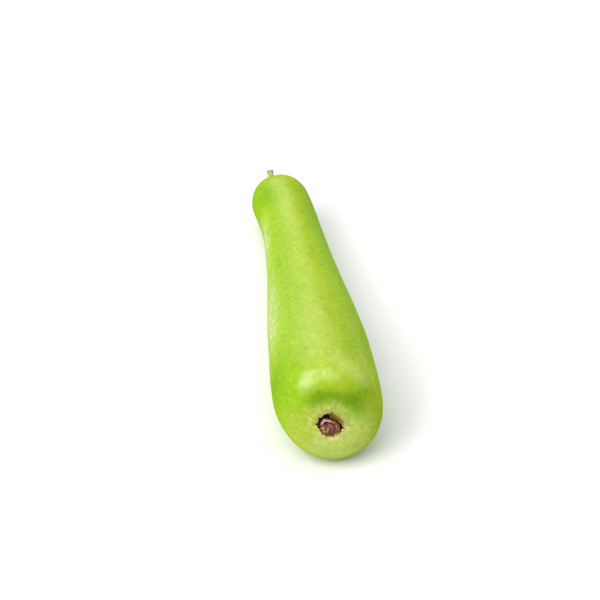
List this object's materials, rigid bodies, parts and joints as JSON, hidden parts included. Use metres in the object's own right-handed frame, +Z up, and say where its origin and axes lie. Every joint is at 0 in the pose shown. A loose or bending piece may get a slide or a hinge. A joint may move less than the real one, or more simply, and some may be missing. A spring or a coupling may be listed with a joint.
{
  "type": "bottle gourd",
  "caption": "Whole green bottle gourd lying on its side: a long smooth club-shaped fruit with a round bulb, a slim neck, a short cut stem and a corky flower scar.",
  "frame": {"origin": "on the surface that the gourd rests on, under the middle of its bounding box", "axes": "+Y along the fruit from its blossom end to its stem end, +Z up, +X to the right as seen from the blossom end"},
  "size_m": [0.0832, 0.4044, 0.085],
  "materials": {
    "skin": "satin",
    "stem": "matte",
    "cork": "matte"
  },
  "bodies": {
    "root": {"fruit": "skin", "stem": "stem", "blossom_scar": "cork"}
  },
  "joints": []
}
